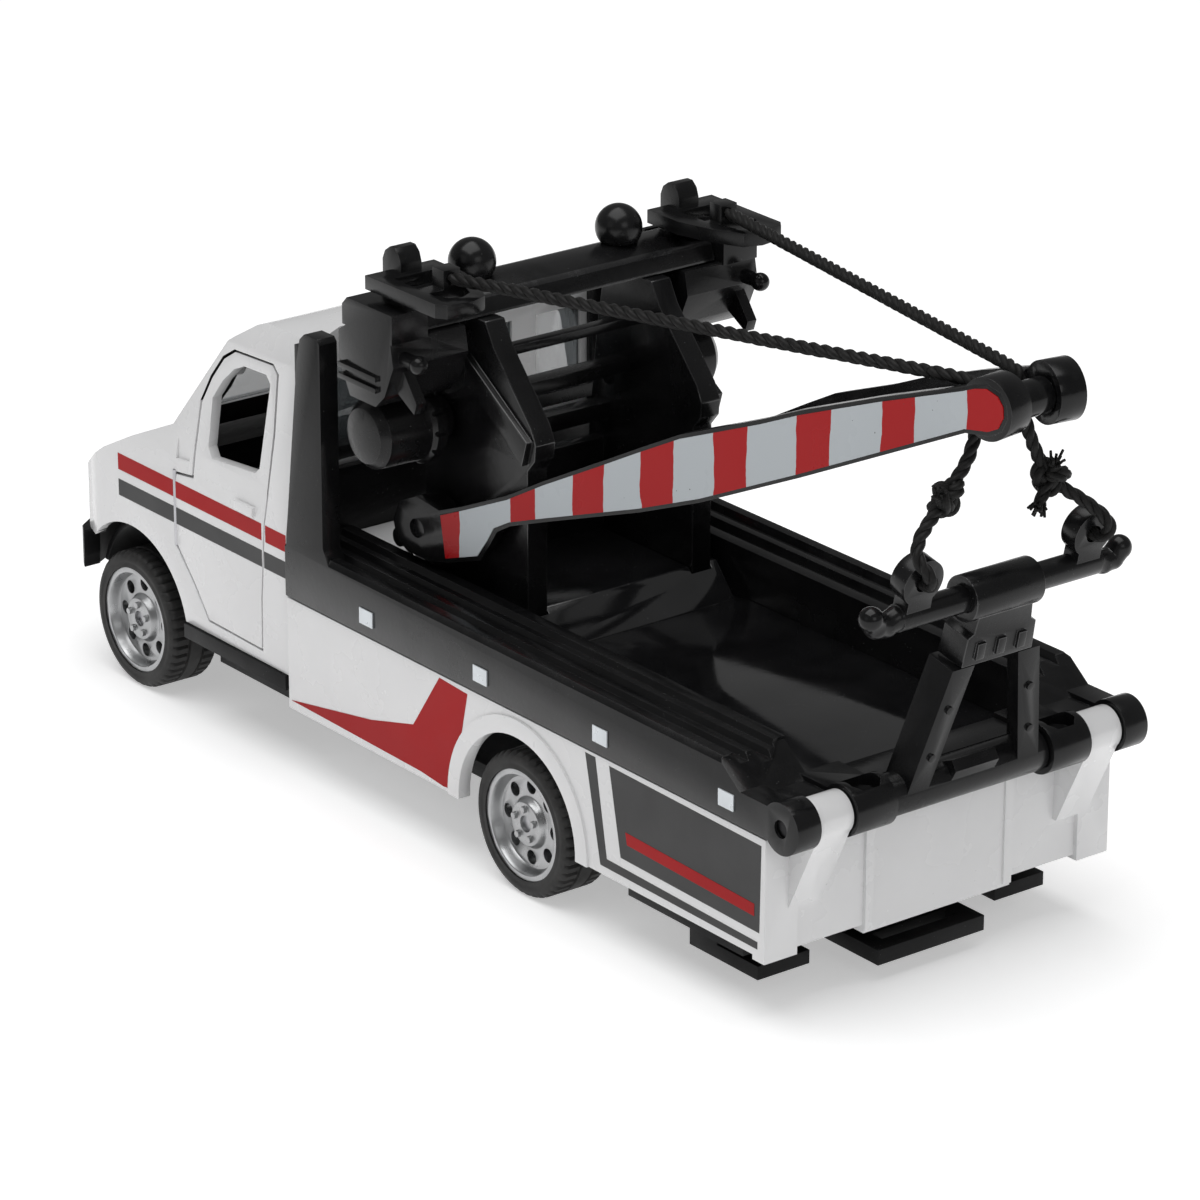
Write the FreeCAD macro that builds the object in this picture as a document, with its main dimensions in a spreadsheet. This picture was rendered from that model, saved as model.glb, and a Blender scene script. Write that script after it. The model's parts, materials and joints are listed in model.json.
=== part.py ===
"""Toy tow truck with a tipping bed, a winch mast, a striped boom and a folding wheel lift.

Millimetres, +Z up, +Y to the rear, +X to the truck's left. The origin is on the ground,
under the middle of the truck. Driving dimensions are in the sheet named dims.
"""

import FreeCAD, Part
import math
import os
import Sketcher
from FreeCAD import Placement, Rotation, Vector

DIMS = {
    # wheels
    "tyre_radius": 9.0, "rim_radius": 6.9, "wheel_width": 7.2, "wheel_outer_x": 25.5,
    "front_axle_y": -63.3, "rear_axle_y": 18.9, "axle_radius": 1.0, "running_gap": 0.08,
    # cab
    "nose_y": -80.2, "cab_back_y": -28.6, "cab_half": 25.5, "cab_low_z": 12.6,
    "belt_z": 34.0, "roof_z": 56.2, "wall": 1.3, "bumper_y": -80.56,
    # rear body
    "body_half": 25.8, "body_front_y": -28.2, "body_back_y": 64.0, "flank_low_z": 8.6,
    "deck_z": 23.2, "arch_radius": 11.4, "front_low_z": 17.9,
    # bed
    "bed_half": 26.0, "bed_low_z": 23.5, "floor_z": 24.5, "rail_z": 30.6, "rail_in_x": 16.6,
    "bed_back_y": 62.0, "column_top_z": 58.5,
    # rear hinge
    "hinge_y": 67.4, "hinge_z": 25.6, "hinge_pin_radius": 1.0, "cup_radius": 3.1,
    "knuckle_in_x": 17.6, "knuckle_out_x": 22.4, "knuckle_radius": 2.6, "cup_in_x": 11.6,
    # mast
    "mast_in_x": 11.0, "mast_out_x": 13.9, "mast_top_z": 66.5, "mast_front_y": -14.0,
    "mast_back_y": 5.1, "bracket_low_z": 67.6, "bracket_thick": 1.7, "bracket_x": 20.7,
    "drum_y": -11.7, "drum_z": 48.8, "drum_radius": 4.9,
    # boom
    "boom_y": -11.2, "boom_z": 35.6, "boom_pin_radius": 1.2, "plate_thick": 1.5,
    "tip_y": 77.0, "tip_z": 73.0, "tip_x": 6.0, "tip_radius": 3.6, "shaft_radius": 2.1,
    "plate_angle": 8.0, "guide_y": 70.25, "guide_z": 72.55, "guide_radius": 0.9,
    # wheel lift, measured from the hinge pin along the leaning frame
    "lift_lean": 12.5, "lift_rod_z": 24.5, "lift_eye_z": 29.1, "lift_eye_x": 12.45,
    # ropes
    "rope_radius": 0.8,
}

doc = FreeCAD.newDocument("toy_tow_truck")
sheet = doc.addObject("Spreadsheet::Sheet", "dims")
for row, (alias, number) in enumerate(DIMS.items(), 1):
    sheet.set(f"A{row}", alias)
    sheet.set(f"B{row}", str(number))
    sheet.setAlias(f"B{row}", alias)
doc.recompute()


class Size:
    """A length together with the sheet expression that gives it."""

    def __init__(self, value, text):
        self.value = value
        self.text = text

    def joined(self, sign, other, value):
        return Size(value, f"({self.text} {sign} {sized(other).text})")

    def __add__(self, other):
        return self.joined("+", other, self.value + sized(other).value)

    def __sub__(self, other):
        return self.joined("-", other, self.value - sized(other).value)

    def __mul__(self, factor):
        return Size(self.value * factor, f"({self.text} * {factor})")

    def __neg__(self):
        return self * -1


def sized(number):
    return number if isinstance(number, Size) else Size(float(number), repr(float(number)))


def dim(alias):
    return Size(float(sheet.get(alias)), f"dims.{alias}")


def bind(thing, prop, size):
    thing.setExpression(prop, sized(size).text)


NODES = {}


def node(name, thing):
    """Makes a document object a sub-part: its label is the name of its file."""
    thing.Label = name
    NODES[name] = thing
    return thing


def both_sides(name, thing):
    """The left sub-part, and its mirror image as the right one."""
    node(f"{name}_left", thing)
    node(f"{name}_right", mirrored(thing))


# ---- building blocks -------------------------------------------------------------------


def box(x, y, z):
    """A block between two values on each axis."""
    block = doc.addObject("Part::Box", "block")
    for side, axis, (low, high) in (("Length", "x", x), ("Width", "y", y), ("Height", "z", z)):
        bind(block, side, sized(high) - low)
        bind(block, f".Placement.Base.{axis}", low)
    return block


TURNS = {"x": Rotation(Vector(0, 1, 0), 90), "y": Rotation(Vector(1, 0, 0), -90), "z": Rotation()}


def rod(axis, low, high, centre, radius):
    """A cylinder along an axis; centre is on the two other axes in x, y, z order."""
    cylinder = doc.addObject("Part::Cylinder", "rod")
    cylinder.Placement = Placement(Vector(), TURNS[axis])
    bind(cylinder, "Radius", radius)
    bind(cylinder, "Height", sized(high) - low)
    others = [name for name in "xyz" if name != axis]
    bind(cylinder, f".Placement.Base.{axis}", low)
    for name, place in zip(others, centre):
        bind(cylinder, f".Placement.Base.{name}", place)
    return cylinder


def ball(centre, radius):
    sphere = doc.addObject("Part::Sphere", "ball")
    bind(sphere, "Radius", radius)
    for axis, place in zip("xyz", centre):
        bind(sphere, f".Placement.Base.{axis}", place)
    return sphere


def draw(sketch, outline):
    """Adds a closed outline of straight sides, each corner bound to its two sizes."""
    first = sketch.GeometryCount
    corners = [(sized(u), sized(v)) for u, v in outline]
    points = [Vector(u.value, v.value, 0) for u, v in corners]
    for start, end in zip(points, points[1:] + points[:1]):
        sketch.addGeometry(Part.LineSegment(start, end), False)
    for i, (u, v) in enumerate(corners):
        before = first + (i - 1) % len(corners)
        sketch.addConstraint(Sketcher.Constraint("Coincident", before, 2, first + i, 1))
        for kind, size in (("DistanceX", u), ("DistanceY", v)):
            if "dims." in size.text:
                rule = Sketcher.Constraint(kind, -1, 1, first + i, 1, size.value)
                bind(sketch, f"Constraints[{sketch.addConstraint(rule)}]", size)


def draw_circle(sketch, u, v, radius):
    u, v, radius = sized(u), sized(v), sized(radius)
    circle = Part.Circle(Vector(u.value, v.value, 0), Vector(0, 0, 1), radius.value)
    index = sketch.addGeometry(circle, False)
    rule = sketch.addConstraint(Sketcher.Constraint("Radius", index, radius.value))
    bind(sketch, f"Constraints[{rule}]", radius)


def new_sketch(plane):
    """A body and a sketch on one of its own origin planes: XY, XZ or YZ."""
    body = doc.addObject("PartDesign::Body", "body")
    sketch = body.newObject("Sketcher::SketchObject", "sketch")
    origin = [o for o in body.Origin.OriginFeatures if o.Role == f"{plane}_Plane"][0]
    sketch.AttachmentSupport = [(origin, "")]
    sketch.MapMode = "FlatFace"
    return body, sketch


def prism(plane, outline, low, high, holes=(), circles=()):
    """A padded outline between two values on the axis that the plane leaves out."""
    body, sketch = new_sketch(plane)
    draw(sketch, outline)
    for hole in holes:
        draw(sketch, hole)
    for circle in circles:
        draw_circle(sketch, *circle)
    start = -sized(high) if plane == "XZ" else sized(low)
    bind(sketch, ".AttachmentOffset.Base.z", start)
    pad = body.newObject("PartDesign::Pad", "pad")
    pad.Profile = sketch
    bind(pad, "Length", sized(high) - low)
    doc.recompute()
    return body


def turned(profile, centre=(0, 0, 0)):
    """A profile of (place along X, radius) points, revolved about X and moved to centre."""
    body, sketch = new_sketch("XY")
    draw(sketch, profile)
    revolution = body.newObject("PartDesign::Revolution", "turning")
    revolution.Profile = sketch
    revolution.ReferenceAxis = (sketch, ["H_Axis"])
    revolution.Angle = 360
    doc.recompute()
    for axis, place in zip("xyz", centre):
        bind(body, f".Placement.Base.{axis}", place)
    doc.recompute()
    return body


def fuse(*things):
    union = doc.addObject("Part::MultiFuse", "union")
    union.Shapes = list(things)
    union.Refine = True
    doc.recompute()
    return union


def group(*things):
    """Separate solids kept in one sub-part."""
    compound = doc.addObject("Part::Compound", "group")
    compound.Links = list(things)
    doc.recompute()
    return compound


def cut(base, *tools):
    difference = doc.addObject("Part::Cut", "difference")
    difference.Base = base
    difference.Tool = tools[0] if len(tools) == 1 else fuse(*tools)
    difference.Refine = True
    doc.recompute()
    return difference


def common(first, second):
    overlap = doc.addObject("Part::Common", "overlap")
    overlap.Base = first
    overlap.Tool = second
    overlap.Refine = True
    doc.recompute()
    return overlap


def mirrored(thing):
    image = doc.addObject("Part::Mirroring", "image")
    image.Source = thing
    image.Normal = Vector(1, 0, 0)
    doc.recompute()
    return image


def copy(thing):
    """A linked copy of an object, so that it can be used in a second boolean."""
    return mirrored(mirrored(thing))


def moved(thing, placement):
    """One solid with the shape of an object, placed elsewhere."""
    holder = group(thing)
    holder.Placement = placement
    doc.recompute()
    return holder


def symmetric(half):
    """An outline from its right-hand half: the points are repeated with u negated."""
    return list(half) + [(-sized(u), v) for u, v in reversed(half)]


# ---- wheels and axles ------------------------------------------------------------------

tyre_radius = dim("tyre_radius")
rim_radius = dim("rim_radius")
wheel_outer = dim("wheel_outer_x")
wheel_inner = wheel_outer - dim("wheel_width")
axle_radius = dim("axle_radius")
gap = dim("running_gap")


def tyre(y):
    shoulder = 0.8
    return turned(
        [
            (wheel_inner, rim_radius),
            (wheel_inner, tyre_radius - shoulder),
            (wheel_inner + shoulder, tyre_radius),
            (wheel_outer - shoulder, tyre_radius),
            (wheel_outer, tyre_radius - shoulder),
            (wheel_outer, rim_radius),
        ],
        (0, y, tyre_radius),
    )


def rim(y):
    """A dished wheel with vent holes round the disc and a ring of nuts on the hub."""
    lip = 0.7
    disc_out = wheel_outer - 1.6
    disc_in = wheel_outer - 2.8
    dish = turned(
        [
            (wheel_inner + 0.4, axle_radius),
            (wheel_inner + 0.4, 3.0),
            (disc_in, 3.0),
            (disc_in, rim_radius - lip),
            (wheel_inner, rim_radius - lip),
            (wheel_inner, rim_radius),
            (wheel_outer - 0.15, rim_radius),
            (wheel_outer - 0.15, rim_radius - lip),
            (disc_out, rim_radius - lip - 0.5),
            (disc_out, 3.2),
            (disc_out + 0.9, 2.7),
            (disc_out + 0.9, axle_radius),
        ],
        (0, y, tyre_radius),
    )
    vents = []
    for i in range(8):
        turn = math.radians(45 * i)
        centre = (sized(y) + 4.5 * math.cos(turn), tyre_radius + 4.5 * math.sin(turn))
        vents.append(rod("x", wheel_inner, wheel_outer, centre, 0.85))
    nuts = []
    for i in range(5):
        turn = math.radians(90 + 72 * i)
        centre = (sized(y) + 1.9 * math.cos(turn), tyre_radius + 1.9 * math.sin(turn))
        nuts.append(rod("x", disc_out + 0.6, disc_out + 1.4, centre, 0.42))
    return fuse(cut(dish, *vents), *nuts)


for end in ("front", "rear"):
    axle_y = dim(f"{end}_axle_y")
    both_sides(f"tyre_{end}", tyre(axle_y))
    both_sides(f"rim_{end}", rim(axle_y))
    reach = wheel_outer - 1.2
    node(f"axle_{end}", rod("x", -reach, reach, (axle_y, tyre_radius), axle_radius))

# ---- cab -------------------------------------------------------------------------------

nose = dim("nose_y")
cab_back = dim("cab_back_y")
cab_half = dim("cab_half")
cab_low = dim("cab_low_z")
belt = dim("belt_z")
roof = dim("roof_z")
wall = dim("wall").value
front_axle = dim("front_axle_y")
screen_top_y = -44.9
screen_foot_y = -54.4


def cab_solid(inset, low=cab_low, back=0.0):
    """The van cab's outer form moved inwards by an inset: side, plan and front views meet."""
    side = [
        (nose + inset, low),
        (nose + inset, 20.0),
        (nose + 1.8 + inset, 23.6 - 0.3 * inset),
        (nose + 5.6 + 0.7 * inset, 27.2 - 0.7 * inset),
        (nose + 10.8 + 0.4 * inset, 30.8 - 0.9 * inset),
        (nose + 17.0 + 0.3 * inset, belt - inset),
        (screen_foot_y + 0.7 * inset, belt + 4.0 - 0.9 * inset),
        (screen_top_y + 0.9 * inset, roof - 5.1 - 0.5 * inset),
        (screen_top_y + 4.6 + 0.5 * inset, roof - 2.1 - inset),
        (screen_top_y + 9.0, roof - 0.6 - inset),
        (cab_back - back, roof - inset),
        (cab_back - back, low),
    ]
    plan = symmetric(
        [
            (cab_half - inset, cab_back - back),
            (cab_half - inset, -71.4 + 0.4 * inset),
            (cab_half - 1.3 - inset, -75.2 + 0.6 * inset),
            (cab_half - 4.6 - 0.8 * inset, -78.1 + inset),
            (cab_half - 10.5 - 0.5 * inset, -79.7 + inset),
            (6.0, nose + inset),
        ]
    )
    front = symmetric(
        [
            (cab_half - inset, low),
            (cab_half - inset, belt - 3.0),
            (cab_half - 0.5 - inset, belt + 1.5),
            (cab_half - 3.2 - inset, roof - 4.2 - inset),
            (cab_half - 4.8 - inset, roof - 1.5 - inset),
            (cab_half - 8.5 - inset, roof - inset),
        ]
    )
    views = common(
        prism("YZ", side, -cab_half, cab_half),
        prism("XY", plan, low, roof + 1.0),
    )
    return common(views, prism("XZ", front, nose - 1.0, cab_back))


def layer(outer, inner, window):
    """A thin skin of the cab's form between two insets, seen through a window prism."""
    return common(cut(cab_solid(outer), cab_solid(inner, low=cab_low - 2.0)), window)


outer_form = cab_solid(0.0)
inner_form = cab_solid(wall, low=cab_low - 2.0, back=wall)

door_pin_y = -53.2
door_pin_x = cab_half - 0.2
door_opening = [
    (-53.4, 22.6), (-53.4, 32.2), (-49.4, 32.7), (-49.2, 42.4), (-47.6, 46.0), (-45.5, 49.0),
    (-43.3, 50.4), (-35.0, 50.8), (-33.6, 49.8), (-32.9, 42.5), (-32.9, 34.4), (-34.0, 20.9),
    (-34.1, 14.0), (-46.1, 14.2), (-49.4, 18.4),
]
door_leaf = [
    (-53.0, 22.8), (-53.0, 31.9), (-49.0, 32.4), (-48.8, 42.3), (-47.2, 45.8), (-45.2, 48.7),
    (-43.1, 50.1), (-35.2, 50.5), (-34.0, 49.6), (-33.3, 42.5), (-33.2, 34.4), (-34.3, 20.9),
    (-34.4, 14.3), (-45.9, 14.5), (-49.1, 18.6),
]
door_window = [
    (-45.4, 36.0), (-46.4, 37.2), (-46.7, 43.4), (-45.0, 46.0), (-42.9, 48.0), (-40.9, 48.9),
    (-36.2, 49.1), (-35.1, 48.2), (-35.3, 37.6), (-36.1, 36.8)]
quarter_panel = [(-52.8, 37.8), (-51.3, 39.6), (-50.1, 40.2), (-50.1, 34.3), (-53.1, 33.9)]
pin_span = (22.4, 32.4)
windscreen = symmetric([(20.2, 40.4), (19.6, 43.0), (17.8, 50.0)])
windscreen_pane = symmetric([(20.0, 40.6), (19.4, 43.0), (17.6, 49.8)])
lamp_window = [(14.4, 20.6), (22.2, 21.6), (23.0, 26.6), (14.8, 25.4)]
grille_window = symmetric([(12.6, 18.4), (13.0, 22.6)])
rear_windows = ((-19.7, -12.7), (-9.0, 9.0), (12.7, 19.7))
rear_window_z = (41.0, 51.6)
front_low = dim("front_low_z")

cab_cuts = [
    prism("YZ", door_opening, cab_half - 7.0, cab_half + 1.0),
    prism("YZ", door_opening, -cab_half - 1.0, -cab_half + 7.0),
    prism("YZ", quarter_panel, cab_half - 0.7, cab_half + 1.0),
    prism("YZ", quarter_panel, -cab_half - 1.0, -cab_half + 0.7),
    prism("XZ", windscreen, -68.0, -40.0),
    prism("XZ", grille_window, nose - 1.0, nose + 3.5),
    prism("XZ", lamp_window, -82.0, -72.6),
    prism("XZ", [(-u, v) for u, v in lamp_window], -82.0, -72.6),
    *[box(span, (cab_back - 3.0, cab_back + 1.0), rear_window_z) for span in rear_windows],
    rod("x", -cab_half - 1.0, cab_half + 1.0, (front_axle, 9.5), 12.4),
    box((-cab_half - 1.0, cab_half + 1.0), (nose - 1.0, front_axle - 9.0), (cab_low - 1.0, front_low)),
    rod("z", *pin_span, (door_pin_x, door_pin_y), 0.3),
    rod("z", *pin_span, (-door_pin_x, door_pin_y), 0.3),
]
node("cab_shell", cut(cut(outer_form, inner_form), *cab_cuts))

door_skin = common(cut(copy(outer_form), copy(inner_form)), prism(
    "YZ", door_leaf, cab_half - 7.0, cab_half + 1.0, holes=[door_window]))
door_handle = box((cab_half - 0.3, cab_half + 0.4), (-39.4, -35.4), (31.4, 32.6))
door_groove = rod("z", 20.0, 36.0, (door_pin_x, door_pin_y), 0.3 + gap.value)
both_sides("door", cut(fuse(door_skin, door_handle), door_groove))
node("door_pins", group(*[
    rod("z", *pin_span, (door_pin_x * side, door_pin_y), 0.3) for side in (-1, 1)]))

node("windscreen", layer(0.45, 1.15, prism("XZ", windscreen_pane, -68.0, -40.0)))
lamp = layer(0.05, 1.3, prism("XZ", [(u, v) for u, v in [
    (14.6, 20.8), (22.0, 21.8), (22.7, 26.4), (15.0, 25.2)]], -82.0, -72.6))
both_sides("headlight", lamp)
node("cab_rear_window", group(*[
    box((low + 0.05, high - 0.05), (cab_back - 1.0, cab_back - 0.3),
        (rear_window_z[0] + 0.05, rear_window_z[1] - 0.05)) for low, high in rear_windows]))

grille_bars = [box((-12.4, 12.4), (nose + 1.0, nose + 2.2), (z, z + 0.8)) for z in (19.2, 20.8)]
grille_back = box((-12.4, 12.4), (nose + 2.0, nose + 2.7), (18.6, 22.4))
node("grille", fuse(grille_back, *grille_bars))

bumper_front = dim("bumper_y")
bumper_plan = symmetric([
    (cab_half + 0.1, -74.6), (cab_half - 1.0, -76.6), (cab_half - 4.2, -78.9),
    (cab_half - 10.0, -80.4), (6.0, bumper_front)])
bumper_inside = symmetric([
    (cab_half - 1.9, -73.5), (cab_half - 2.9, -75.6), (cab_half - 5.6, -77.3),
    (cab_half - 10.8, -78.6), (6.0, bumper_front + 1.9)])
node("front_bumper", cut(
    prism("XY", bumper_plan, 12.4, front_low - 0.1),
    prism("XY", bumper_inside, 11.0, front_low + 1.0),
    rod("x", -30.0, 30.0, (front_axle, 9.5), 12.4)))

# ---- cab interior ----------------------------------------------------------------------

seats = []
for side in (-1, 1):
    seat_x = sorted((side * 3.0, side * 15.5))
    seats.append(box(seat_x, (-43.5, -32.6), (14.6, 22.5)))
    seats.append(prism("YZ", [(-35.0, 22.0), (-32.6, 22.0), (-31.0, 38.0), (-33.2, 38.6)], *seat_x))
liners = []
for side in (-1, 1):
    liner_x = sorted((side * 15.5, side * 22.2))
    liners.append(cut(
        rod("x", *liner_x, (front_axle, 9.5), 12.3),
        rod("x", liner_x[0] - 1.0, liner_x[1] + 1.0, (front_axle, 9.5), 11.5),
        box((-30.0, 30.0), (front_axle - 20.0, front_axle + 20.0), (-8.0, 13.0))))
tub_floor = box((-22.6, 22.6), (-52.0, -30.6), (13.0, 14.8))
node("interior_tub", fuse(tub_floor, *seats, *liners))
steering_place = Placement(Vector(9.3, -48.4, 33.2), Rotation(Vector(1, 0, 0), -42))
column_radius = 0.6
column_hole = moved(rod("z", -10.2, 0.0, (0, 0), column_radius + gap.value), steering_place)
node("dashboard", cut(prism("YZ", [
    (-60.6, 27.6), (-60.6, 30.6), (-55.0, 33.2), (-53.6, 30.6), (-55.2, 25.2)], -21.6, 21.6),
    column_hole))
steering_ring = doc.addObject("Part::Torus", "ring")
steering_ring.Radius1 = 4.0
steering_ring.Radius2 = 0.5
steering_parts = fuse(
    steering_ring,
    rod("z", -10.0, 0.3, (0, 0), column_radius),
    box((-4.0, 4.0), (-0.5, 0.5), (-0.3, 0.3)))
node("steering_wheel", moved(steering_parts, steering_place))

# ---- base plate ------------------------------------------------------------------------

rear_axle = dim("rear_axle_y")
flank_low = dim("flank_low_z")
saddles = [
    box((-15.5, 15.5), (axle - 3.2, axle + 3.2), (6.0, 12.2)) for axle in (front_axle, rear_axle)]
sills = []
for side in (-1, 1):
    sills.append(box(sorted((side * 14.0, side * 25.9)), (-51.2, -28.8), (10.6, cab_low - 0.1)))
    sills.append(box(sorted((side * 12.0, side * 22.0)), (-49.0, -29.4), (7.0, 10.8)))
outer_tabs = [
    box(sorted((side * 14.0, side * 21.6)), (46.0, 58.4), (2.6, 6.4)) for side in (-1, 1)]
middle_tab = box((-8.0, 8.0), (46.0, 63.4), (2.4, 6.4))
tab_hollows = [
    box((-22.0, 22.0), (51.0, 64.0), (4.3, 6.4)),
    box((-5.6, 5.6), (59.4, 61.2), (2.0, 5.0)),
]
tabs = cut(fuse(middle_tab, *outer_tabs), *tab_hollows)
plate = box((-16.6, 16.6), (-76.0, 56.0), (6.0, 8.0))
tail = box((-24.3, 24.3), (38.0, 59.0), (6.6, flank_low - 0.1))
bores = [
    rod("x", -16.0, 16.0, (axle, tyre_radius), axle_radius + gap)
    for axle in (front_axle, rear_axle)]
screw_places = ((0.0, -70.0), (-9.0, 46.0), (9.0, 46.0))
screw_holes = [rod("z", 1.0, 9.0, place, 1.1) for place in screw_places]
base = cut(fuse(plate, tail, tabs, *saddles, *sills), *bores, *screw_holes)
node("base_plate", base)
screws = []
for place in screw_places:
    z = 6.0 if place[1] < 0 else 2.9
    head = cut(rod("z", z, 7.6, place, 1.1), rod("z", z - 1.0, z + 0.6, place, 0.5))
    screws.append(head)
node("base_screws", group(*screws))

# ---- rear body -------------------------------------------------------------------------

body_half = dim("body_half")
body_front = dim("body_front_y")
body_back = dim("body_back_y")
deck = dim("deck_z")
arch_radius = dim("arch_radius")
hinge_y = dim("hinge_y")
hinge_z = dim("hinge_z")
pin_radius = dim("hinge_pin_radius")
knuckle_in = dim("knuckle_in_x")
knuckle_out = dim("knuckle_out_x")
knuckle_radius = dim("knuckle_radius")

body_block = box((-body_half, body_half), (body_front, body_back), (flank_low, deck))
body_hollow = box(
    (-body_half + 1.4, body_half - 1.4), (body_front + 1.4, body_back - 1.5),
    (flank_low - 1.0, deck - 1.5))
arch_cut = rod("x", -body_half - 1.0, body_half + 1.0, (rear_axle, 9.0), arch_radius)
arch_lips = []
for side in (-1, 1):
    lip_x = [sized(side * (body_half.value - 1.2)), body_half * side + 0.35 * side]
    lip_x.sort(key=lambda size: size.value)
    ring = cut(
        rod("x", *lip_x, (rear_axle, 9.0), arch_radius + 2.2),
        rod("x", lip_x[0] - 1.0, lip_x[1] + 1.0, (rear_axle, 9.0), arch_radius),
        box((-30.0, 30.0), (rear_axle - 20.0, rear_axle + 20.0), (-8.0, flank_low)),
        box((-30.0, 30.0), (rear_axle - 20.0, rear_axle + 20.0), (deck, 40.0)))
    arch_lips.append(ring)
rear_ribs = [
    box(sorted((side * 9.8, side * 11.0)), (body_back - 1.0, body_back + 0.5), (8.0, deck))
    for side in (-1, 1)]
panel_lip = box((-11.0, 11.0), (body_back - 1.5, body_back + 0.2), (7.6, deck))
corner_posts = [
    box(sorted((side * 21.0, side * 25.8)), (body_back - 1.5, body_back + 0.6), (8.0, deck))
    for side in (-1, 1)]
knuckle_web = [
    (body_back - 1.4, 14.0), (body_back + 0.6, 14.0), (hinge_y + 2.0, hinge_z - 1.6),
    (hinge_y, hinge_z), (hinge_y - 1.9, hinge_z - 1.9), (body_back + 1.0, deck),
    (body_back - 1.4, deck)]
knuckles = []
for side in (-1, 1):
    span = (knuckle_in, knuckle_out) if side > 0 else (-knuckle_out, -knuckle_in)
    knuckles.append(prism("YZ", knuckle_web, *span))
    knuckles.append(rod("x", *span, (hinge_y, hinge_z), knuckle_radius))
pin_bore = rod("x", -30.0, 30.0, (hinge_y, hinge_z), pin_radius)
shell = cut(body_block, body_hollow, arch_cut)
node("rear_body", cut(
    fuse(shell, panel_lip, *arch_lips, *rear_ribs, *corner_posts, *knuckles), pin_bore))
node("hinge_pin", rod("x", -25.6, 25.6, (hinge_y, hinge_z), pin_radius))

# ---- tipping bed -----------------------------------------------------------------------

bed_half = dim("bed_half")
bed_low = dim("bed_low_z")
floor_top = dim("floor_z")
rail_top = dim("rail_z")
rail_in = dim("rail_in_x")
bed_back = dim("bed_back_y")
column_top = dim("column_top_z")
cup_radius = dim("cup_radius")
cup_in = dim("cup_in_x")

rail_section = [
    (bed_half, bed_low), (bed_half, rail_top - 0.6), (bed_half - 0.6, rail_top),
    (bed_half - 1.9, rail_top), (bed_half - 2.2, rail_top - 1.0),
    (bed_half - 3.4, rail_top - 1.0), (bed_half - 3.7, rail_top - 0.3),
    (bed_half - 4.7, rail_top - 0.3), (bed_half - 5.0, rail_top - 1.4),
    (bed_half - 6.3, rail_top - 1.4), (bed_half - 6.6, rail_top - 0.6),
    (bed_half - 7.5, rail_top - 0.6), (bed_half - 7.8, rail_top + 0.2),
    (rail_in, rail_top + 0.2), (rail_in, floor_top - 0.5),
    (rail_in - 1.0, floor_top - 0.5), (rail_in - 1.0, bed_low),
]
rail_end_cut = prism("YZ", [
    (bed_back - 5.5, rail_top + 3.0), (bed_back - 5.5, rail_top - 0.2),
    (bed_back - 1.0, rail_top - 3.6), (bed_back + 3.0, rail_top - 3.6),
    (bed_back + 3.0, rail_top + 3.0)], -30.0, 30.0)
column = [
    (body_front, bed_low), (body_front, 28.0), (-26.7, 40.2), (-24.9, 54.8),
    (-24.2, column_top - 0.9), (-23.2, column_top), (-20.6, column_top),
    (-20.1, column_top - 0.6), (-20.1, rail_top + 1.4), (-18.8, rail_top - 1.0),
    (-18.8, bed_low)]
cup_bore = rod("x", -30.0, 30.0, (hinge_y, hinge_z), pin_radius + gap)
frame_parts = []
pockets = []
for side in (-1, 1):
    section = [(sized(u) * side, v) for u, v in rail_section]
    frame_parts.append(cut(prism("XZ", section, body_front, bed_back), copy(rail_end_cut)))
    column_x = (bed_half - 2.6, bed_half) if side > 0 else (-bed_half, -bed_half + 2.6)
    frame_parts.append(prism("YZ", column, *column_x))
    outer_cup = (knuckle_out + 0.25, bed_half) if side > 0 else (-bed_half, -knuckle_out - 0.25)
    inner_cup = (cup_in, knuckle_in - 0.25) if side > 0 else (-knuckle_in + 0.25, -cup_in)
    for span in (outer_cup, inner_cup):
        frame_parts.append(rod("x", *span, (hinge_y, hinge_z), cup_radius))
        frame_parts.append(box(span, (bed_back - 2.0, hinge_y), (bed_low, 27.6)))
    corner = inner_cup[0] + 0.8, inner_cup[1] - 0.8
    pockets.append(prism("XY", [
        (corner[0], hinge_y - 0.9), (corner[0] + 0.9, hinge_y - 1.8),
        (corner[1] - 0.9, hinge_y - 1.8), (corner[1], hinge_y - 0.9),
        (corner[1], hinge_y + 0.9), (corner[1] - 0.9, hinge_y + 1.8),
        (corner[0] + 0.9, hinge_y + 1.8), (corner[0], hinge_y + 0.9)],
        27.0, 31.0))
crossmember = box((-bed_half, bed_half), (bed_back - 2.0, 64.6), (bed_low, 27.0))
board_y = (body_front, body_front + 1.2)
headboard = fuse(
    box((-bed_half + 2.0, bed_half - 2.0), board_y, (bed_low, 38.6)),
    box((-bed_half + 2.0, -20.4), board_y, (38.0, 55.5)),
    box((20.4, bed_half - 2.0), board_y, (38.0, 55.5)),
    box((-bed_half + 2.0, bed_half - 2.0), (board_y[0], board_y[1] + 0.9), (40.2, 41.9)))
front_beam = box((-bed_half + 1.0, bed_half - 1.0), (body_front, -25.4), (bed_low, 27.0))
node("bed_frame", cut(
    fuse(crossmember, headboard, front_beam, *frame_parts), cup_bore, *pockets))
floor_edge = rail_in - 0.1
node("bed_floor", box(
    (-floor_edge, floor_edge), (8.4, bed_back - 2.2), (floor_top - 0.5, floor_top)))
deck_plate_z = 30.1
node("front_deck", box(
    (-floor_edge, floor_edge), (board_y[1] + 0.1, -17.1), (deck_plate_z - 1.2, deck_plate_z)))

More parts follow.
